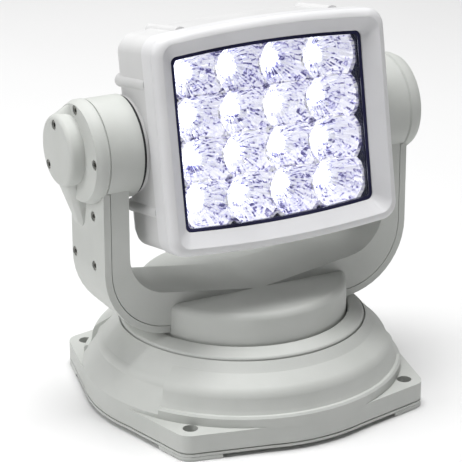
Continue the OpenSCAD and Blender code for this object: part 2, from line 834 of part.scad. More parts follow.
module head_housing() {
    color("gainsboro") in_head() difference() {
        union() {
            head_slab(pocket_inset + lip_fit, house_y, bezel_back + eps);
            head_slab(house_inset, bezel_back, rear_y - rear_d);
            hull() {
                head_slab(house_inset, rear_y - rear_d - 1, rear_y - rear_d);
                head_slab(house_inset + rear_round * 0.35, rear_y - rear_d * 0.35, rear_y - rear_d * 0.35 + eps);
                head_slab(house_inset + rear_round, rear_y - eps, rear_y);
            }
            at_ribs(bezel_back) cylinder(r = rib_r, h = rear_y - bezel_back - rib_short);
        }
        at_ribs(rear_y - rib_short) cylinder(r = rib_head + seat_fit, h = rear_d);
        difference() {
            head_slab(pocket_inset + lip_fit + head_wall, house_y - 1, rear_y - head_wall);
            for (x = [-1, 1]) translate([x * (boss_in + house_w) / 2, 0, 0]) rotate([0, 90, 0])
                cylinder(r = shaft_r + boss_w, h = house_w - boss_in, center = true);
        }
        rotate([0, 90, 0]) cylinder(r = shaft_r + seat_fit, h = 3 * head_w, center = true);
        translate([-sink_w - seat_fit, 0, led_z - sink_h - seat_fit])
            cube([2 * (sink_w + seat_fit), rear_y + 1, 2 * (sink_h + seat_fit)]);
    }
}

module heat_sink() {
    wide = sink_w + sink_lip;
    tall = sink_h + sink_lip;
    step = (2 * wide - fin_t) / (fin_n - 1);
    color("silver") in_head() translate([0, 0, led_z]) {
        translate([-sink_w, board_back, -sink_h]) cube([2 * sink_w, rear_y - board_back, 2 * sink_h]);
        translate([-wide, rear_y, -tall]) cube([2 * wide, sink_plate, 2 * tall]);
        for (i = [0:fin_n - 1]) translate([-wide + i * step, rear_y + sink_plate, 0]) rotate([90, 0, 90])
            linear_extrude(fin_t)
                polygon([[-eps, -tall], [fin_d, fin_cut - tall], [fin_d, tall - fin_cut], [-eps, tall]]);
    }
}

module bezel() {
    color("gainsboro") in_head() difference() {
        union() {
            head_slab(0, rim_round - rim_y - eps, bezel_back);
            hull() for (a = [0:15:90])
                head_slab(rim_round * (1 - cos(a)), -rim_y + rim_round * (1 - sin(a)), rim_round - rim_y);
        }
        hull() {
            head_slab(rim_w, -rim_y - 1, -rim_y);
            head_slab(window_inset, window_y - eps, window_y);
        }
        head_slab(window_inset, window_y - 1, lens_y + eps);
        head_slab(pocket_inset, lens_y, bezel_back + 1);
    }
}

module lens() {
    color("lightcyan", 0.4) in_head() head_slab(pocket_inset + lip_fit, lens_y, lens_y + lens_t);
}

module lens_gasket() {
    color("black") in_head() difference() {
        head_slab(pocket_inset + lip_fit, gasket_y, house_y);
        head_slab(window_inset + gasket_show, gasket_y - 1, house_y + 1);
    }
}

// One dish: a parabola from the diode's hole out to the mouth
module dish() {
    steps = 7;
    grow = dish_r * dish_r - dish_hole * dish_hole;
    rotate([90, 0, 0]) rotate_extrude() polygon(concat([[0, -eps]],
        [for (i = [0:steps]) let (t = i / steps) [sqrt(dish_hole * dish_hole + grow * t), t * dish_d]],
        [[dish_r, dish_d + 1], [0, dish_d + 1]]));
}

module reflector_array() {
    color("silver") in_head() difference() {
        led_grid() translate([0, led_y, 0]) rotate([90, 0, 0]) cylinder(r = dish_r + dish_wall, h = dish_d);
        led_grid() translate([0, led_y, 0]) dish();
    }
}

// Dark frame between the dishes and the window
module reflector_frame() {
    color("black") in_head() difference() {
        head_slab(pocket_inset + lip_fit + head_wall + gap, dish_y, dish_y + frame_t);
        led_grid() translate([0, dish_y - 1, 0]) rotate([-90, 0, 0])
            cylinder(r = dish_r + dish_wall + seat_fit, h = frame_t + 2);
        translate([-grid_w, dish_y - 1, led_z - grid_h]) cube([2 * grid_w, frame_t + 2, 2 * grid_h]);
    }
}

module led_board() {
    color("whitesmoke") in_head() translate([board_margin - array_w, led_y, led_z - array_h + board_margin])
        cube([2 * (array_w - board_margin), board_t, 2 * (array_h - board_margin)]);
}

led_r = 3.2;
led_h = 1.4;
led_rim = 0.3;

module leds() {
    color("ivory") in_head() led_grid() translate([0, led_y, 0]) rotate([90, 0, 0]) {
        cylinder(r = led_r, h = led_h);
        translate([0, 0, led_h]) difference() {
            sphere(r = led_r - led_rim);
            translate([0, 0, -led_r]) cube(2 * led_r, center = true);
        }
    }
}

module bezel_screws() {
    color("dimgray") in_head() at_ribs(rear_y - rib_short) difference() {
        cylinder(r = rib_head, h = rib_head_h);
        translate([0, 0, rib_head_h / 2]) cylinder(r = rib_head * hex_share, h = rib_head_h, $fn = 6);
    }
}

foot_pads();
bottom_plate();
plate_screws();
base_gasket();
base_housing();
cable_grommet();
control_board();
pan_motor();
pan_pinion();
pan_bush();
shroud_ring();
turntable_hub();
pan_gear();
spindle_nut();
yoke_frame();
left_arm_cover();
right_arm_cover();
cover_screws();
left_tilt_bush();
right_tilt_bush();
tilt_motor();
tilt_coupling();
left_trunnion();
right_trunnion();
right_collar();
left_shaft_seal();
right_shaft_seal();
head_housing();
heat_sink();
bezel();
lens();
lens_gasket();
reflector_array();
reflector_frame();
led_board();
leds();
bezel_screws();
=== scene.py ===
"""Dresses the marine searchlight: soft cast edges, flat paint, cut optics with painted reflections and a
painted glow, dark trim and lit diodes.
"""

from __future__ import annotations

import json
import logging
import math
import random
from dataclasses import dataclass
from enum import Enum
from typing import Iterable

import bpy
from mathutils import Matrix, Vector

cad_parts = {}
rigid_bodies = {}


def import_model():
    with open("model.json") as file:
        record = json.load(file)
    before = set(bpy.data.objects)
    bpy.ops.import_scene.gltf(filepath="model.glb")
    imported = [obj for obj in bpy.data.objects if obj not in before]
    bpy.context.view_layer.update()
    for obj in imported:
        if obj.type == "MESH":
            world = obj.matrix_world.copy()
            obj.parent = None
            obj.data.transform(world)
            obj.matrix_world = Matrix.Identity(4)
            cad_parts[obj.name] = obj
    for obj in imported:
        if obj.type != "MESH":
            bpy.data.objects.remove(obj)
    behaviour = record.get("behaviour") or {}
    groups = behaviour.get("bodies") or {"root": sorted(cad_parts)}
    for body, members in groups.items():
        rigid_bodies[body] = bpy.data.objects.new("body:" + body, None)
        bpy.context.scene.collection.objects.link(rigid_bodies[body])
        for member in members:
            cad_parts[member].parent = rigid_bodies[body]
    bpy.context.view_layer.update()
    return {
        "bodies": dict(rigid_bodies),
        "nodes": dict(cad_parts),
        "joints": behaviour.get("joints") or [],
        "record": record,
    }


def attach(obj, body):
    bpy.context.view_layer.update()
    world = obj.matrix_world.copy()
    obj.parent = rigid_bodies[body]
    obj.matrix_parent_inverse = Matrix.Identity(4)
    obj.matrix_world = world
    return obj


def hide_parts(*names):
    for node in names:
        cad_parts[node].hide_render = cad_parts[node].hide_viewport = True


LOG = logging.getLogger("searchlight")
MM = 0.001
MOTTLE_RANGE = (0.35, 0.65)


class Slot(Enum):
    """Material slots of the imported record."""

    PAINT = "paint"
    RUBBER = "rubber"
    SCREW = "screw"
    BOARD = "board"
    MOTOR = "motor"
    BRONZE = "bronze"
    STEEL = "steel"
    SINK = "sink"
    LENS = "lens"
    CHROME = "chrome"
    LED_PLATE = "led_plate"
    LED = "led"


class Body(Enum):
    """Bodies that the pieces ride on."""

    BASE = "base"
    PINION = "pinion"
    TURNTABLE = "turntable"
    HEAD = "head"


class NodeGroups:
    """Shader node groups that several finishes share."""

    _made: dict[str, bpy.types.NodeTree] = {}

    @classmethod
    def _new(
        cls, name: str, inputs: Iterable[tuple[str, float]], outputs: Iterable[str]
    ) -> bpy.types.NodeTree:
        """Makes an empty group.

        Args:
            name: Name of the group.
            inputs: Names and default values of its number inputs.
            outputs: Names of its number outputs.

        Returns:
            The group, with its input and output nodes.
        """
        tree = bpy.data.node_groups.new(name, "ShaderNodeTree")
        for label, value in inputs:
            socket = tree.interface.new_socket(label, in_out="INPUT", socket_type="NodeSocketFloat")
            socket.default_value = value
        for label in outputs:
            tree.interface.new_socket(label, in_out="OUTPUT", socket_type="NodeSocketFloat")
        tree.nodes.new("NodeGroupInput").name = "in"
        tree.nodes.new("NodeGroupOutput").name = "out"
        cls._made[name] = tree
        return tree

    @classmethod
    def skin(cls) -> bpy.types.NodeTree:
        """Returns the group for a cast or moulded skin: slow mottling and a fine orange-peel height."""
        if "cast_skin" in cls._made:
            return cls._made["cast_skin"]
        tree = cls._new("cast_skin", (("Mottle Scale", 30.0), ("Peel Scale", 900.0)), ("Mottle", "Height"))
        nodes, links = tree.nodes, tree.links
        coord = nodes.new("ShaderNodeTexCoord")
        for label, source, detail in (("Mottle", "Mottle Scale", 4.0), ("Height", "Peel Scale", 2.0)):
            noise = nodes.new("ShaderNodeTexNoise")
            noise.inputs["Detail"].default_value = detail
            links.new(coord.outputs["Object"], noise.inputs["Vector"])
            links.new(nodes["in"].outputs[source], noise.inputs["Scale"])
            links.new(noise.outputs["Fac"], nodes["out"].inputs[label])
        return tree

    @classmethod
    def _stretched(
        cls, name: str, inputs: Iterable[tuple[str, float]], axis: str, output: str
    ) -> bpy.types.NodeTree:
        """Makes a group whose noise is stretched along one axis.

        Args:
            name: Name of the group.
            inputs: Names and default values of its inputs, with Scale and Stretch among them.
            axis: The stretched axis.
            output: Name of its output.

        Returns:
            The group, with its noise.
        """
        tree = cls._new(name, inputs, (output,))
        nodes, links = tree.nodes, tree.links
        coord = nodes.new("ShaderNodeTexCoord")
        join = nodes.new("ShaderNodeCombineXYZ")
        for other in "XYZ".replace(axis, ""):
            join.inputs[other].default_value = 1.0
        links.new(nodes["in"].outputs["Stretch"], join.inputs[axis])
        times = nodes.new("ShaderNodeVectorMath")
        times.operation = "MULTIPLY"
        links.new(coord.outputs["Object"], times.inputs[0])
        links.new(join.outputs["Vector"], times.inputs[1])
        noise = nodes.new("ShaderNodeTexNoise")
        noise.name = "noise"
        links.new(times.outputs["Vector"], noise.inputs["Vector"])
        links.new(nodes["in"].outputs["Scale"], noise.inputs["Scale"])
        links.new(noise.outputs["Fac"], nodes["out"].inputs[output])
        return tree

    @classmethod
    def turned(cls) -> bpy.types.NodeTree:
        """Returns the group for machined metal: fine streaks along the stretched axis."""
        if "turned_streaks" in cls._made:
            return cls._made["turned_streaks"]
        return cls._stretched("turned_streaks", (("Scale", 600.0), ("Stretch", 0.04)), "Y", "Streak")

    @classmethod
    def painted_waves(cls) -> bpy.types.NodeTree:
        """Returns the group for cut optics: wavy painted reflection strokes that run across the head."""
        if "painted_reflection_waves" in cls._made:
            return cls._made["painted_reflection_waves"]
        inputs = (("Scale", 260.0), ("Stretch", 0.3), ("Swirl", 1.8))
        tree = cls._stretched("painted_reflection_waves", inputs, "X", "Wave")
        tree.links.new(tree.nodes["in"].outputs["Swirl"], tree.nodes["noise"].inputs["Distortion"])
        return tree


@dataclass(frozen=True)
class Finish:
    """A surface finish with mottled colour, uneven gloss and a fine skin.

    Attributes:
        name: Name of the material.
        dark: Colour in the dull patches.
        light: Colour in the clean patches.
        rough: Lowest and highest roughness.
        metallic: Share of bare metal.
        mottle: Patches to a metre.
        peel: Grains of the fine skin to a metre.
        bump: Depth of the fine skin in metres.
        streaks: True for machined streaks in place of the skin.
    """

    name: str
    dark: tuple[float, float, float]
    light: tuple[float, float, float]
    rough: tuple[float, float] = (0.35, 0.5)
    metallic: float = 0.0
    mottle: float = 30.0
    peel: float = 900.0
    bump: float = 0.00004
    streaks: bool = False

    def material(self) -> bpy.types.Material:
        """Returns the finish's material, made on the first call."""
        known = bpy.data.materials.get(self.name)
        return known if known else self._build()

    def _build(self) -> bpy.types.Material:
        """Builds the material.

        Returns:
            The new material.
        """
        mat = bpy.data.materials.new(self.name)
        mat.use_nodes = True
        nodes, links = mat.node_tree.nodes, mat.node_tree.links
        shader = nodes["Principled BSDF"]
        group = nodes.new("ShaderNodeGroup")
        if self.streaks:
            group.node_tree = NodeGroups.turned()
            fac, height = group.outputs["Streak"], group.outputs["Streak"]
        else:
            group.node_tree = NodeGroups.skin()
            group.inputs["Mottle Scale"].default_value = self.mottle
            group.inputs["Peel Scale"].default_value = self.peel
            fac, height = group.outputs["Mottle"], group.outputs["Height"]
        ramp = nodes.new("ShaderNodeValToRGB")
        for stop, place, colour in zip(ramp.color_ramp.elements, MOTTLE_RANGE, (self.dark, self.light)):
            stop.position = place
            stop.color = (*colour, 1.0)
        links.new(fac, ramp.inputs["Fac"])
        links.new(ramp.outputs["Color"], shader.inputs["Base Color"])
        gloss = nodes.new("ShaderNodeMapRange")
        gloss.inputs["To Min"].default_value, gloss.inputs["To Max"].default_value = self.rough
        links.new(fac, gloss.inputs["Value"])
        links.new(gloss.outputs["Result"], shader.inputs["Roughness"])
        bump = nodes.new("ShaderNodeBump")
        bump.inputs["Distance"].default_value = self.bump
        links.new(height, bump.inputs["Height"])
        links.new(bump.outputs["Normal"], shader.inputs["Normal"])
        shader.inputs["Metallic"].default_value = self.metallic
        self.refine(shader)
        return mat

    def refine(self, shader: bpy.types.Node) -> None:
        """Sets what a special finish adds to the shader."""


@dataclass(frozen=True)
class GlassFinish(Finish):
    """Clear window glass.

    Attributes:
        alpha: Share of the light that the pane keeps.
        ior: How strongly it bends light.
    """

    alpha: float = 0.03
    ior: float = 1.5

    def refine(self, shader: bpy.types.Node) -> None:
        """Makes the pane see-through."""
        shader.inputs["Alpha"].default_value = self.alpha
        shader.inputs["IOR"].default_value = self.ior


@dataclass(frozen=True)
class OpticFinish(Finish):
    """Cut optics coloured by painted reflections: each facet has a random painted shade, with wavy painted
    strokes across it.

    Attributes:
        painted_reflection: Name of the mesh attribute that holds each facet's painted reflection shade.
        stops: Painted reflection shades and their colours, from dark navy to white.
        strength: Strength of the painted glow of the optics, which are no lamp.
        share: Share of the facet's own painted reflection shade.
        swing: What the wavy painted reflection strokes add, at their darkest and brightest.
    """

    painted_reflection: str = "painted_reflection"
    strength: float = 0.27
    share: float = 0.6
    swing: tuple[float, float] = (-0.75, 1.05)
    stops: tuple[tuple[float, tuple[float, float, float]], ...] = (
        (0.05, (0.10, 0.09, 0.24)),
        (0.16, (0.42, 0.40, 0.66)),
        (0.34, (0.80, 0.80, 0.94)),
        (0.5, (0.97, 0.97, 1.0)),
    )

    def refine(self, shader: bpy.types.Node) -> None:
        """Colours each facet by its painted reflection shade, with wavy painted strokes, from dark navy to
        white.
        """
        tree = shader.id_data
        # Painted reflections: each facet's random shade, mixed with wavy painted strokes, picks a colour
        # from dark navy to white.
        reflection_shade = tree.nodes.new("ShaderNodeAttribute")
        reflection_shade.attribute_name = self.painted_reflection
        ramp = tree.nodes.new("ShaderNodeValToRGB")
        stops = ramp.color_ramp.elements
        for _ in range(len(self.stops) - len(stops)):
            stops.new(1.0)
        for stop, (place, colour) in zip(stops, self.stops):
            stop.position = place
            stop.color = (*colour, 1.0)
        painted_waves = tree.nodes.new("ShaderNodeGroup")
        painted_waves.node_tree = NodeGroups.painted_waves()
        swing = tree.nodes.new("ShaderNodeMapRange")
        swing.inputs["To Min"].default_value, swing.inputs["To Max"].default_value = self.swing
        tree.links.new(painted_waves.outputs["Wave"], swing.inputs["Value"])
        mixed = tree.nodes.new("ShaderNodeMath")
        mixed.operation = "MULTIPLY_ADD"
        mixed.inputs[1].default_value = self.share
        tree.links.new(reflection_shade.outputs["Fac"], mixed.inputs[0])
        tree.links.new(swing.outputs["Result"], mixed.inputs[2])
        tree.links.new(mixed.outputs["Value"], ramp.inputs["Fac"])
        # Painted glow: the painted reflection colours are also given off as light, though the optics are
        # no lamp.
        for socket in ("Base Color", "Emission Color"):
            tree.links.new(ramp.outputs["Color"], shader.inputs[socket])
        shader.inputs["Emission Strength"].default_value = self.strength


@dataclass(frozen=True)
class GlowFinish(Finish):
    """A lit diode.

    Attributes:
        glow: Colour of the light.
        strength: Strength of the light.
    """

    glow: tuple[float, float, float] = (0.82, 0.88, 1.0)
    strength: float = 2.2

    def refine(self, shader: bpy.types.Node) -> None:
        """Lights the diode."""
        shader.inputs["Emission Color"].default_value = (*self.glow, 1.0)
        shader.inputs["Emission Strength"].default_value = self.strength


FINISHES: dict[Slot, Finish] = {
    Slot.PAINT: Finish(
        "light_grey_paint", (0.52, 0.535, 0.51), (0.56, 0.572, 0.55), (0.5, 0.64), bump=0.00003),
    Slot.RUBBER: Finish(
        "black_rubber", (0.012, 0.012, 0.014), (0.03, 0.03, 0.033), (0.55, 0.75), bump=0.00006),
    Slot.SCREW: Finish("dark_steel", (0.14, 0.14, 0.13), (0.27, 0.27, 0.25), (0.25, 0.45), 1.0, 200.0),
    Slot.BOARD: Finish("solder_mask", (0.01, 0.10, 0.04), (0.02, 0.16, 0.07), (0.3, 0.45)),
    Slot.MOTOR: Finish("plated_case", (0.25, 0.25, 0.26), (0.42, 0.42, 0.43), (0.3, 0.45), 1.0, 80.0),
    Slot.BRONZE: Finish(
        "machined_bronze", (0.42, 0.26, 0.09), (0.62, 0.42, 0.18), (0.25, 0.4), 1.0, streaks=True),
    Slot.STEEL: Finish(
        "turned_steel", (0.42, 0.42, 0.43), (0.6, 0.6, 0.61), (0.22, 0.36), 1.0, streaks=True),
    Slot.SINK: Finish("grey_sink", (0.46, 0.48, 0.46), (0.52, 0.54, 0.52), (0.4, 0.55), 0.3),
    Slot.LENS: GlassFinish("clear_lens", (0.80, 0.86, 0.95), (0.86, 0.91, 1.0), (0.02, 0.04), bump=0.0),
    # Chrome optics coloured by painted reflections, which also glow as painted light.
    Slot.CHROME: OpticFinish(
        "optics_painted_reflections_and_glow", (0.80, 0.80, 0.95), (0.95, 0.95, 1.0), (0.06, 0.16), 0.6, 120.0, 170.0, 0.0005),
    Slot.LED_PLATE: Finish("dark_board", (0.01, 0.01, 0.02), (0.02, 0.02, 0.04), (0.3, 0.4)),
    Slot.LED: GlowFinish("lit_diode", (0.9, 0.93, 1.0), (0.95, 0.97, 1.0), (0.1, 0.2), bump=0.0),
}

HEAD_PAINT = Finish(
    "pale_head_paint", (0.605, 0.605, 0.605), (0.645, 0.645, 0.645), (0.46, 0.6), bump=0.00003)
BEZEL_PAINT = Finish(
    "white_bezel_paint", (0.675, 0.675, 0.685), (0.715, 0.715, 0.725), (0.42, 0.54), bump=0.00003)
BLACK_TRIM = Finish(
    "gloss_black_trim", (0.008, 0.008, 0.035), (0.02, 0.02, 0.07), (0.10, 0.22), bump=0.0)
FLOOR_PAINT = Finish(
    "pale_floor", (0.79, 0.79, 0.79), (0.81, 0.81, 0.81), (0.8, 0.9), mottle=2.0, bump=0.0)
NODE_FINISHES: dict[str, Finish] = {
    "head_housing": HEAD_PAINT,
    "bezel": BEZEL_PAINT,
    "reflector_frame": BLACK_TRIM,
    "lens_gasket": BLACK_TRIM,
    "left_shaft_seal": HEAD_PAINT,
    "right_shaft_seal": HEAD_PAINT,
}


class Bench:
    """Mesh operations shared by the sub-assemblies.

    Attributes:
        MERGE: Corners of a copied solid that lie closer than this are one.
        FLAT_DEG: Faces that meet at less than this angle are one face.
        SHARP_DEG: Edges sharper than this are rounded.
        CAST_DEG: Edges of a casting that are blunter than this are shaded smooth.
        SMALL_DEG: The same for small pieces.
        FACE_WEIGHT: How far large faces keep their own shading, out of 100.
    """

    MERGE = 0.02 * MM
    FLAT_DEG = 0.5
    SHARP_DEG = 32
    CAST_DEG = 35
    SMALL_DEG = 40
    FACE_WEIGHT = 80

    @staticmethod
    def clear() -> None:
        """Deselects everything, because an operator acts on all that is selected."""
        if bpy.context.object and bpy.context.object.mode != "OBJECT":
            bpy.ops.object.mode_set(mode="OBJECT")
        bpy.ops.object.select_all(action="DESELECT")

    @classmethod
    def pick(cls, *pieces: bpy.types.Object) -> None:
        """Selects only these pieces and makes the first one active."""
        cls.clear()
        for piece in pieces:
            piece.select_set(True)
        bpy.context.view_layer.objects.active = pieces[0]

    @classmethod
    def join(cls, pieces: list[bpy.types.Object], name: str) -> bpy.types.Object:
        """Joins pieces into one.

        Args:
            pieces: What to join.
            name: Name of the result.

        Returns:
            The joined piece.
        """
        cls.pick(*pieces)
        if len(pieces) > 1:
            bpy.ops.object.join()
        piece = bpy.context.object
        piece.name = piece.data.name = name
        return piece

    @classmethod
    def settle(cls, piece: bpy.types.Object, place: Matrix) -> None:
        """Moves a piece's mesh to its place and leaves its object at the origin."""
        piece.data.transform(place @ piece.matrix_world)
        piece.matrix_world = Matrix.Identity(4)

    @classmethod
    def apply(cls, piece: bpy.types.Object, kind: str, **values: object) -> None:
        """Adds a modifier, sets its values and applies it."""
        cls.pick(piece)
        modifier = piece.modifiers.new(kind.lower(), kind)
        for key, value in values.items():
            setattr(modifier, key, value)
        bpy.ops.object.modifier_apply(modifier=modifier.name)

    @classmethod
    def smooth(cls, piece: bpy.types.Object, angle_deg: float) -> None:
        """Shades the edges of a piece smooth that are blunter than an angle."""
        cls.pick(piece)
        bpy.ops.object.shade_smooth_by_angle(angle=math.radians(angle_deg))

    @classmethod
    def merged_copy(cls, node: bpy.types.Object, name: str) -> bpy.types.Object:
        """Copies a solid and merges its loose triangles.

        Args:
            node: The solid's object.
            name: Name of the copy.

        Returns:
            The copy, in edit mode with everything selected.
        """
        piece = bpy.data.objects.new(name, node.data.copy())
        bpy.context.scene.collection.objects.link(piece)
        cls.pick(piece)
        bpy.ops.object.mode_set(mode="EDIT")
        bpy.ops.mesh.select_all(action="SELECT")
        bpy.ops.mesh.customdata_custom_splitnormals_clear()
        bpy.ops.mesh.remove_doubles(threshold=cls.MERGE)
        return piece

    @classmethod
    def soft_copy(
        cls, node: bpy.types.Object, name: str, radius: float, segments: int = 2
    ) -> bpy.types.Object:
        """Copies a solid with its sharp edges rounded.

        Args:
            node: The solid's object.
            name: Name of the copy.
            radius: Width of the rounding in metres.
            segments: Faces across the rounding.

        Returns:
            The copy.
        """
        piece = cls.merged_copy(node, name)
        bpy.ops.mesh.dissolve_limited(angle_limit=math.radians(cls.FLAT_DEG))
        # A face with holes is cut into triangles, because the bevel can fold one that isn't.
        bpy.ops.mesh.select_all(action="SELECT")
        bpy.ops.mesh.quads_convert_to_tris()
        bpy.ops.object.mode_set(mode="OBJECT")
        cls.apply(
            piece, "BEVEL", width=radius, segments=segments, limit_method="ANGLE",
            angle_limit=math.radians(cls.SHARP_DEG), use_clamp_overlap=True, miter_outer="MITER_ARC")
        cls.smooth(piece, cls.CAST_DEG)
        cls.apply(
            piece, "WEIGHTED_NORMAL", mode="FACE_AREA_WITH_ANGLE", weight=cls.FACE_WEIGHT, keep_sharp=True)
        return piece


@dataclass
class SubAssembly:
    """Nodes on one body and the pieces that finish them.

    Attributes:
        frame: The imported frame.
        body: The body that the pieces ride on.
        edge: Rounding of cast edges, in metres.
    """

    frame: dict
    body: Body
    edge: float = 0.8 * MM

    def node(self, name: str) -> bpy.types.Object:
        """Returns a CAD node's object."""
        return self.frame["nodes"][name]

    def tilt_axis(self) -> Vector:
        """Returns the point of the tilt axis between the drums."""
        return Vector(next(j for j in self.frame["joints"] if j["name"] == "tilt")["pos_m"])

    def slots(self) -> dict[str, Slot]:
        """Returns the material slot of every node on this body."""
        members = self.frame["record"]["behaviour"]["bodies"][self.body.value]
        known = {row["node"]: row["material_slot"] for row in self.frame["record"]["subparts"]}
        return {name: Slot(known[name]) for name in members}

    def coat(self, piece: bpy.types.Object, slot: Slot, node: str = "") -> None:
        """Gives a piece the finish of its node, or else of its slot."""
        piece.data.materials.clear()
        piece.data.materials.append(NODE_FINISHES.get(node, FINISHES[slot]).material())

    def seat(self, piece: bpy.types.Object, slot: Slot, *nodes: str) -> bpy.types.Object:
        """Puts a new piece on this body.

        Args:
            piece: The piece, in place.
            slot: Its material slot.
            nodes: CAD nodes that it stands for.

        Returns:
            The piece.
        """
        self.coat(piece, slot, nodes[0] if nodes else "")
        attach(piece, self.body.value)
        if nodes:
            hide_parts(*nodes)
        LOG.info("%s: %d faces on %s", piece.name, len(piece.data.polygons), self.body.value)
        return piece

    def soften(self, *names: str) -> None:
        """Replaces castings by copies with rounded edges."""
        for name in names:
            piece = Bench.soft_copy(self.node(name), f"{name}_cast", self.edge)
            self.seat(piece, self.slots()[name], name)

    def dress(self) -> None:
        """Gives every CAD node of the body its finish."""
        for name, slot in self.slots().items():
            self.coat(self.node(name), slot, name)


@dataclass
class Base(SubAssembly):
    """The fixed base with its drive."""

    def build(self) -> None:
        """Dresses the base and rounds its castings."""
        self.dress()
        self.soften("base_housing", "shroud_ring", "bottom_plate", "foot_pads")


@dataclass
class Turntable(SubAssembly):
    """The panning hub and yoke.

    Attributes:
        steps: Sections of the slope beside the motor bulge.
        rim_r: Radius of the slope's foot, about the tilt axis.
        rim_x: Distance of its foot from the middle.
        rim_turn: Angles at which its foot starts and ends, from straight up, in degrees.
        bulge_r: Radius of the slope's head, about the bulge's own axis.
        bulge_y: Distance of the bulge's axis behind the tilt axis.
        bulge_x: Distance of the slope's head from the middle, at its low start and full height.
        bulge_turn: Angles at which its head starts and ends, in degrees.
        rise: Share of the slope in which it reaches its full height.
    """

    steps: int = 16
    rim_r: float = 27.3 * MM
    rim_x: float = 103.4 * MM
    rim_turn: tuple[float, float] = (9.0, 48.0)
    bulge_r: float = 19.8 * MM
    bulge_y: float = 8.0 * MM
    bulge_x: tuple[float, float] = (103.9 * MM, 111.0 * MM)
    bulge_turn: tuple[float, float] = (-8.0, 42.0)
    rise: float = 0.4

    def section(self, share: float) -> tuple[Vector, Vector, Vector]:
        """Returns the slope's foot, head and inner corner.

        Args:
            share: Place along the slope, from 0 to 1.

        Returns:
            The three corners of the slope's section there.
        """
        axis = self.tilt_axis()
        grown = min(share / self.rise, 1.0)
        eased = grown * grown * (3 - 2 * grown)
        height = self.bulge_x[0] + (self.bulge_x[1] - self.bulge_x[0]) * eased
        rim = math.radians(self.rim_turn[0] + (self.rim_turn[1] - self.rim_turn[0]) * share)
        turn = math.radians(self.bulge_turn[0] + (self.bulge_turn[1] - self.bulge_turn[0]) * share)
        side = self.bulge_y + self.bulge_r * math.sin(turn)
        up = self.bulge_r * math.cos(turn)
        foot = Vector((-self.rim_x, self.rim_r * math.sin(rim), self.rim_r * math.cos(rim)))
        return axis + foot, axis + Vector((-height, side, up)), axis + Vector((-self.rim_x, side, up))

    def bulge_slope(self) -> None:
        """Builds the slope that rises from the left cap's rim to the motor bulge."""
        Bench.clear()
        bpy.ops.mesh.primitive_circle_add(vertices=3, fill_type="NGON")
        piece = bpy.context.object
        piece.name = piece.data.name = "bulge_slope"
        for step in range(self.steps + 1):
            if step:
                bpy.ops.object.mode_set(mode="EDIT")
                bpy.ops.mesh.extrude_region_move()
                bpy.ops.object.mode_set(mode="OBJECT")
            corners = self.section(step / self.steps)
            for vertex, place in zip(piece.data.vertices[-len(corners):], corners):
                vertex.co = place
        bpy.ops.object.mode_set(mode="EDIT")
        bpy.ops.mesh.select_all(action="SELECT")
        bpy.ops.mesh.normals_make_consistent(inside=False)
        bpy.ops.object.mode_set(mode="OBJECT")
        Bench.smooth(piece, Bench.SMALL_DEG)
        self.seat(piece, Slot.PAINT)

    def build(self) -> None:
        """Dresses the yoke, rounds its castings and adds the bulge's slope."""
        self.dress()
        self.soften("turntable_hub", "yoke_frame", "left_arm_cover", "right_arm_cover")
        self.bulge_slope()


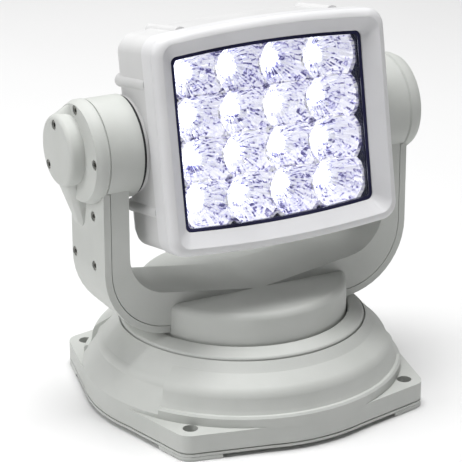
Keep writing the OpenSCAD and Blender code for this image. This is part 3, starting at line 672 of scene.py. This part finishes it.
@dataclass
class Head(SubAssembly):
    """The tilting lamp head.

    Attributes:
        tilt_rest: Angle by which the head looks up, in degrees.
        count: Diodes in a row, and rows.
        pitch_x: Spacing along a row.
        pitch_z: Spacing of the rows.
        lift: Height of the array's middle above the tilt axis.
        board_y: Depth of the diodes' board.
        dish_r: Radius of a dish at its mouth.
        dish_hole: Radius of the hole at its bottom.
        dish_d: Depth of a dish.
        facets: Facets round a dish.
        rings: Rings of facets.
        flute: Radius of every second ridge as a share of the others.
        twist: Turn from one ring of facets to the next, in degrees.
        jitter: Unevenness of the cut facets.
        dish_wall: Thickness of the dishes.
        dish_merge: Corners of neighbouring dishes that lie closer than this are one.
        lip_r: Radius of the flat lip round a dish.
        lip_rise: Height of the lip over the dark frame.
        lip_painted_shade: Brightest painted shade of the lip's facets, drawn as dark outlines between the
            dishes.
        dome_r: Radius of a diode's dome.
        dome_sides: Sides of the dome and its collar.
        dome_rings: Rings of a whole dome.
        collar_r: Radius of a diode's collar.
        collar_h: Height of the collar.
        collar_round: Rounding of the collar.
        seal_shade_r: Radius of the black ring that stands for a seal's edge and painted shade of the gap.
        seal_shade_x: Distance of that ring's middle from the head's middle.
        seal_shade_w: Width of that ring.
        seal_shade_wall: Thickness of that ring.
        seal_shade_sides: Sides of that ring.
        trim_y: Depth of the window's dark trim, at the lens's front.
        trim_d: Thickness of the trim.
        trim_w: Width of the trim.
        trim_shift: Where the trim lies across the gasket's edge, from -1 outside to 1 inside.
    """

    tilt_rest: float = 10.4
    count: int = 4
    pitch_x: float = 27.6 * MM
    pitch_z: float = 24.0 * MM
    lift: float = 1.1 * MM
    board_y: float = -13.8 * MM
    dish_r: float = 17.4 * MM
    dish_hole: float = 4.5 * MM
    dish_d: float = 19.2 * MM
    facets: int = 72
    rings: int = 4
    flute: float = 0.95
    twist: float = 5.0
    jitter: float = 0.3 * MM
    dish_wall: float = 0.9 * MM
    dish_merge: float = 0.03 * MM
    lip_r: float = 18.9 * MM
    lip_rise: float = 0.25 * MM
    # Painted shade: the lip's facets stay darker, as dark outlines between the dishes.
    lip_painted_shade: float = 0.4
    dome_r: float = 3.6 * MM
    dome_sides: int = 20
    dome_rings: int = 12
    collar_r: float = 4.1 * MM
    collar_h: float = 1.4 * MM
    collar_round: float = 0.3 * MM
    # A thin black ring at each drum's edge: a seal's edge and painted shade of the gap.
    seal_shade_r: float = 28.06 * MM
    seal_shade_x: float = 74.55 * MM
    seal_shade_w: float = 1.3 * MM
    seal_shade_wall: float = 0.3 * MM
    seal_shade_sides: int = 128
    trim_y: float = -38.65 * MM
    trim_d: float = 0.5 * MM
    trim_w: float = 2.0 * MM
    trim_shift: float = -0.5

    def place(self) -> Matrix:
        """Returns the matrix from the head's own axes to the frame at rest."""
        lean = Matrix.Rotation(math.radians(-self.tilt_rest), 4, "X")
        return Matrix.Translation(self.tilt_axis()) @ lean

    def spots(self) -> list[tuple[int, int, Matrix]]:
        """Returns each diode's column, row and matrix, with its axis along the matrix's Z."""
        half = (self.count - 1) / 2
        facing = Matrix.Rotation(math.radians(90), 4, "X")
        return [
            (i, k, self.place() @ Matrix.Translation(
                ((i - half) * self.pitch_x, self.board_y, (k - half) * self.pitch_z + self.lift)) @ facing)
            for i in range(self.count) for k in range(self.count)
        ]

    def dish(self, column: int, row: int) -> bpy.types.Object:
        """Models one faceted dish, cut off where its neighbours begin.

        Args:
            column: Its column in the array.
            row: Its row in the array.

        Returns:
            The dish, with its axis along Z.
        """
        Bench.clear()
        bpy.ops.mesh.primitive_circle_add(vertices=self.facets, radius=self.dish_hole, fill_type="NOTHING")
        piece = bpy.context.object
        for vertex in piece.data.vertices:
            vertex.select = vertex.index % 2 == 0
        bpy.ops.object.mode_set(mode="EDIT")
        bpy.ops.mesh.select_mode(type="VERT")
        bpy.ops.transform.resize(value=(self.flute, self.flute, 1), center_override=(0, 0, 0))
        bpy.ops.mesh.select_all(action="SELECT")
        radius = self.dish_hole
        for ring in range(1, self.rings + 1):
            share = ring / self.rings
            grown = math.sqrt(self.dish_hole**2 + (self.dish_r**2 - self.dish_hole**2) * share)
            step = {"value": (0, 0, self.dish_d / self.rings)}
            bpy.ops.mesh.extrude_edges_move(TRANSFORM_OT_translate=step)
            scale = grown / radius
            bpy.ops.transform.resize(value=(scale, scale, 1), center_override=(0, 0, 0))
            bpy.ops.transform.rotate(
                value=math.radians(self.twist), orient_axis="Z", center_override=(0, 0, 0))
            radius = grown
        bpy.ops.mesh.select_all(action="SELECT")
        bpy.ops.transform.vertex_random(offset=self.jitter, normal=1.0, seed=1 + column + self.count * row)
        bpy.ops.mesh.select_all(action="DESELECT")
        bpy.ops.object.mode_set(mode="OBJECT")
        for vertex in piece.data.vertices:
            vertex.select = vertex.index >= self.facets * self.rings
        bpy.ops.object.mode_set(mode="EDIT")
        bpy.ops.mesh.extrude_edges_move(TRANSFORM_OT_translate={"value": (0, 0, self.lip_rise)})
        spread = self.lip_r / self.dish_r
        bpy.ops.transform.resize(value=(spread, spread, 1), center_override=(0, 0, 0))
        bpy.ops.object.mode_set(mode="OBJECT")
        self.paint_facet_reflections(piece, column + self.count * row)
        bpy.ops.object.mode_set(mode="EDIT")
        last = self.count - 1
        cuts = (
            (column > 0, (-self.pitch_x / 2, 0, 0), (-1, 0, 0)),
            (column < last, (self.pitch_x / 2, 0, 0), (1, 0, 0)),
            (row > 0, (0, -self.pitch_z / 2, 0), (0, -1, 0)),
            (row < last, (0, self.pitch_z / 2, 0), (0, 1, 0)),
        )
        for wanted, point, normal in cuts:
            if wanted:
                bpy.ops.mesh.select_all(action="SELECT")
                bpy.ops.mesh.bisect(plane_co=point, plane_no=normal, clear_outer=True, use_fill=False)
        bpy.ops.object.mode_set(mode="OBJECT")
        return piece

    def paint_facet_reflections(self, piece: bpy.types.Object, seed: int) -> None:
        """Gives each facet of a dish a random painted reflection shade of its own, darker on its lip as
        painted outlines between the dishes.

        Args:
            piece: The dish.
            seed: Number of the dish.
        """
        # Painted reflections: a random shade for each facet, darker on the lip.
        draw = random.Random(seed)
        reflection_shades = piece.data.attributes.new("painted_reflection", "FLOAT", "FACE")
        for index, reflection_shade in enumerate(reflection_shades.data):
            on_lip = index >= self.facets * self.rings
            reflection_shade.value = draw.random() * (self.lip_painted_shade if on_lip else 1.0)

    def reflectors(self) -> None:
        """Builds the array of dishes as one bright moulding."""
        made = []
        for column, row, spot in self.spots():
            piece = self.dish(column, row)
            Bench.settle(piece, spot)
            made.append(piece)
        array = Bench.join(made, "reflector_facets")
        bpy.ops.object.mode_set(mode="EDIT")
        bpy.ops.mesh.select_all(action="SELECT")
        bpy.ops.mesh.remove_doubles(threshold=self.dish_merge)
        bpy.ops.mesh.normals_make_consistent(inside=False)
        bpy.ops.object.mode_set(mode="OBJECT")
        Bench.apply(array, "SOLIDIFY", thickness=self.dish_wall, offset=1.0)
        self.seat(array, Slot.CHROME, "reflector_array")

    def diodes(self) -> None:
        """Builds the diodes: a domed lens on a collar."""
        Bench.clear()
        bpy.ops.mesh.primitive_uv_sphere_add(
            segments=self.dome_sides, ring_count=self.dome_rings, radius=self.dome_r)
        dome = bpy.context.object
        bpy.ops.object.mode_set(mode="EDIT")
        bpy.ops.mesh.select_all(action="SELECT")
        bpy.ops.mesh.bisect(plane_co=(0, 0, 0), plane_no=(0, 0, -1), clear_outer=True, use_fill=True)
        bpy.ops.mesh.select_all(action="SELECT")
        bpy.ops.transform.translate(value=(0, 0, self.collar_h))
        bpy.ops.object.mode_set(mode="OBJECT")
        bpy.ops.mesh.primitive_cylinder_add(
            vertices=self.dome_sides, radius=self.collar_r, depth=self.collar_h,
            location=(0, 0, self.collar_h / 2))
        collar = bpy.context.object
        Bench.settle(collar, Matrix.Identity(4))
        Bench.apply(collar, "BEVEL", width=self.collar_round, segments=2)
        model = Bench.join([dome, collar], "diode")
        made = []
        for _, _, spot in self.spots():
            piece = bpy.data.objects.new("diode", model.data.copy())
            bpy.context.scene.collection.objects.link(piece)
            Bench.settle(piece, spot)
            made.append(piece)
        bpy.data.objects.remove(model)
        lit = Bench.join(made, "diodes_lit")
        Bench.smooth(lit, Bench.SMALL_DEG)
        self.seat(lit, Slot.LED, "leds")

    def seal_and_gap_shade_rings(self) -> None:
        """Builds a thin black ring at each drum's inner edge for the dark line between drum and head: a
        seal's edge and painted shade of the gap in one.
        """
        made = []
        for side in (-1, 1):
            Bench.clear()
            bpy.ops.mesh.primitive_cylinder_add(
                vertices=self.seal_shade_sides, radius=self.seal_shade_r, depth=self.seal_shade_w, end_fill_type="NOTHING")
            piece = bpy.context.object
            turn = Matrix.Rotation(math.radians(90), 4, "Y")
            Bench.settle(piece, self.place() @ Matrix.Translation((side * self.seal_shade_x, 0, 0)) @ turn)
            made.append(piece)
        edges = Bench.join(made, "seal_and_gap_shade_rings")
        Bench.apply(edges, "SOLIDIFY", thickness=self.seal_shade_wall, offset=-1.0)
        Bench.smooth(edges, Bench.SMALL_DEG)
        self.seat(edges, Slot.RUBBER)

    def window_trim(self) -> None:
        """Builds the dark trim round the window from the inner edge of the lens's gasket."""
        piece = Bench.merged_copy(self.node("lens_gasket"), "window_trim")
        bpy.ops.mesh.select_mode(type="FACE")
        bpy.ops.mesh.select_all(action="DESELECT")
        bpy.ops.object.mode_set(mode="OBJECT")
        piece.data.transform(self.place().inverted())
        middle = sum((v.co for v in piece.data.vertices), Vector()) / len(piece.data.vertices)
        for face in piece.data.polygons:
            to_front_or_back = abs(face.normal.y) > max(abs(face.normal.x), abs(face.normal.z))
            face.select = to_front_or_back or face.normal.dot(face.center - middle) > 0
        bpy.ops.object.mode_set(mode="EDIT")
        bpy.ops.mesh.delete(type="FACE")
        bpy.ops.object.mode_set(mode="OBJECT")
        depths = [v.co.y for v in piece.data.vertices]
        squash = self.trim_d / (max(depths) - min(depths))
        flatten = Matrix.Translation((0, self.trim_y, 0)) @ Matrix.Diagonal((1, squash, 1, 1))
        piece.data.transform(flatten @ Matrix.Translation((0, -(max(depths) + min(depths)) / 2, 0)))
        Bench.apply(
            piece, "SOLIDIFY", thickness=self.trim_w, offset=self.trim_shift, use_even_offset=True)
        Bench.settle(piece, self.place())
        Bench.smooth(piece, Bench.SMALL_DEG)
        self.seat(piece, Slot.RUBBER)
        self.coat(piece, Slot.RUBBER, "lens_gasket")

    def build(self) -> None:
        """Dresses the head, rounds its castings and builds its optics."""
        self.dress()
        self.soften("head_housing", "bezel")
        self.reflectors()
        self.diodes()
        self.seal_and_gap_shade_rings()
        self.window_trim()


@dataclass(frozen=True)
class Viewpoint:
    """The camera, solved from the base's bolt holes and round wall.

    Attributes:
        place: Where the camera stands.
        target: What it looks at.
        lens_mm: Focal length.
        sensor_mm: Sensor width.
        roll_deg: Turn about the line of sight.
        clip: Nearest and farthest distance that it sees.
    """

    place: tuple[float, float, float] = (-0.5703, -1.0623, 0.5515)
    target: tuple[float, float, float] = (-0.0053, 0.00343, 0.09712)
    lens_mm: float = 172.15
    sensor_mm: float = 36.0
    roll_deg: float = -0.09
    clip: tuple[float, float] = (0.05, 20.0)

    def build(self) -> None:
        """Makes the camera."""
        data = bpy.data.cameras.new("camera")
        data.lens, data.sensor_width = self.lens_mm, self.sensor_mm
        data.clip_start, data.clip_end = self.clip
        camera = bpy.data.objects.new("camera", data)
        bpy.context.scene.collection.objects.link(camera)
        look = Vector(self.target) - Vector(self.place)
        facing = look.to_track_quat("-Z", "Y").to_matrix().to_4x4()
        roll = Matrix.Rotation(math.radians(self.roll_deg), 4, "Z")
        camera.matrix_world = Matrix.Translation(self.place) @ facing @ roll
        bpy.context.scene.camera = camera


@dataclass(frozen=True)
class Softbox:
    """A square studio light.

    Attributes:
        name: Name of the light.
        place: Where it hangs.
        size: Its side in metres.
        watts: Its power.
        aim: The point that it faces.
    """

    name: str
    place: tuple[float, float, float]
    size: float
    watts: float
    aim: tuple[float, float, float] = (0.0, 0.0, 0.11)

    def build(self) -> None:
        """Hangs the light, facing its aim."""
        data = bpy.data.lights.new(self.name, "AREA")
        data.size, data.energy = self.size, self.watts
        lamp = bpy.data.objects.new(self.name, data)
        bpy.context.scene.collection.objects.link(lamp)
        lamp.location = self.place
        lamp.rotation_euler = (Vector(self.aim) - lamp.location).to_track_quat("-Z", "Y").to_euler()


@dataclass(frozen=True)
class Studio:
    """Pale floor and soft light.

    Attributes:
        floor: Side of the floor in metres.
        sky: Brightness of the surroundings.
        lamps: The soft lights.
    """

    floor: float = 8.0
    sky: float = 0.14
    lamps: tuple[Softbox, ...] = (
        Softbox("key", (-1.65, 0.25, 1.05), 1.0, 14.5),
        Softbox("top", (-0.05, -0.1, 1.95), 0.9, 33.0),
        Softbox("high_front", (-0.1, -0.75, 1.75), 0.6, 2.5),
        Softbox("right", (1.6, 0.2, 1.0), 1.0, 0.5),
        Softbox("behind", (0.2, 1.2, 1.6), 1.2, 9.0, (0.2, 1.0, 0.0)),
    )

    def build(self) -> None:
        """Lays the floor, hangs the lights and sets the surroundings."""
        Bench.clear()
        bpy.ops.mesh.primitive_plane_add(size=self.floor)
        ground = bpy.context.object
        ground.name = "studio_floor"
        ground.data.materials.append(FLOOR_PAINT.material())
        for lamp in self.lamps:
            lamp.build()
        world = bpy.data.worlds.new("surroundings")
        world.use_nodes = True
        backdrop = world.node_tree.nodes["Background"]
        backdrop.inputs["Color"].default_value = (1.0, 1.0, 1.0, 1.0)
        backdrop.inputs["Strength"].default_value = self.sky
        bpy.context.scene.world = world
        bpy.context.scene.view_settings.view_transform = "Standard"


def main() -> None:
    """Builds the camera, the studio and the dressed searchlight."""
    logging.basicConfig(level=logging.INFO, format="%(name)s: %(message)s")
    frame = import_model()
    Viewpoint().build()
    Studio().build()
    Base(frame, Body.BASE).build()
    SubAssembly(frame, Body.PINION).dress()
    Turntable(frame, Body.TURNTABLE).build()
    Head(frame, Body.HEAD).build()


if __name__ == "__main__":
    main()
